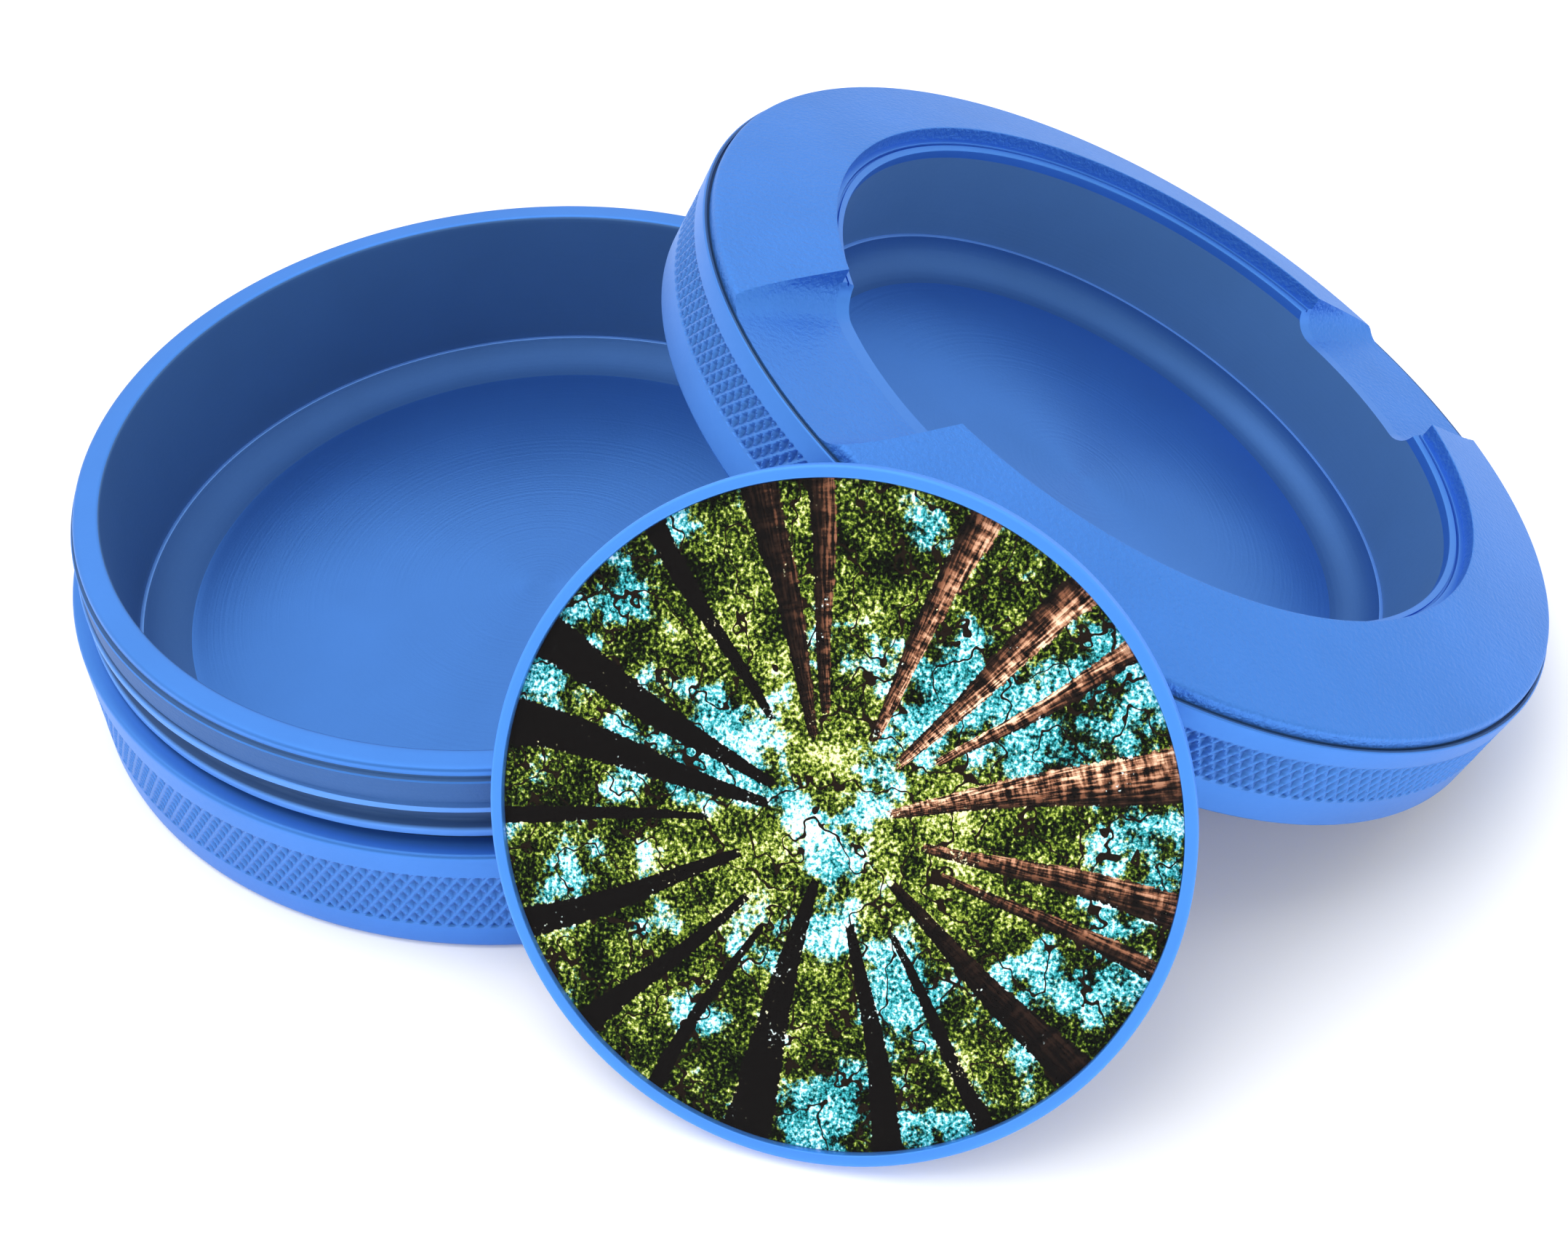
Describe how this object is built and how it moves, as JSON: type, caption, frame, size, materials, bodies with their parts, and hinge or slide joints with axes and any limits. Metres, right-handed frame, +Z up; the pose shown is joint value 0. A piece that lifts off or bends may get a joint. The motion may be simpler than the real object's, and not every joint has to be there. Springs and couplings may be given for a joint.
{
  "type": "screw-top storage jar",
  "caption": "Low round screw-top jar with a knurled band, a threaded tray lid with two rest notches leaning on it, and a printed domed disc.",
  "frame": {"origin": "centre of the jar's underside", "axes": "+Z up along the jar's axis; +X towards the leaning lid, the longest way of the row; -Y is the front, where the disc stands"},
  "size_m": [0.1447, 0.1148, 0.0495],
  "materials": {
    "jar_metal": "blue anodised, turned and bead-blasted, satin",
    "ring_metal": "blue anodised, knurled, satin",
    "tray_metal": "blue anodised, bead-blasted flange, turned bowl",
    "gasket_rubber": "matte silicone",
    "disc_metal": "blue anodised, satin",
    "printed_sheet": "printed picture of a forest canopy",
    "clear_dome": "clear gloss resin"
  },
  "bodies": {
    "jar": {"jar_body": "jar_metal"},
    "gasket": {"lid_gasket": "gasket_rubber"},
    "lid": {"lid_ring": "ring_metal", "lid_tray": "tray_metal"},
    "disc": {"disc_base": "disc_metal", "disc_print": "printed_sheet", "disc_dome": "clear_dome"}
  },
  "joints": [
    {"name": "lid_lift", "type": "slide", "parent": "jar", "child": "gasket", "axis": [0.5978, 0.4284, 0.6775], "range_m": [0, 0.06]},
    {"name": "lid_turn", "type": "hinge", "parent": "gasket", "child": "lid", "pos_m": [0.05526, -0.00403, 0.02019], "axis": [0.4508, 0.0276, 0.8922], "continuous": true},
    {"name": "disc_lift", "type": "slide", "parent": "jar", "child": "disc", "axis": [-0.2285, -0.7969, 0.5592], "range_m": [0, 0.06]}
  ]
}
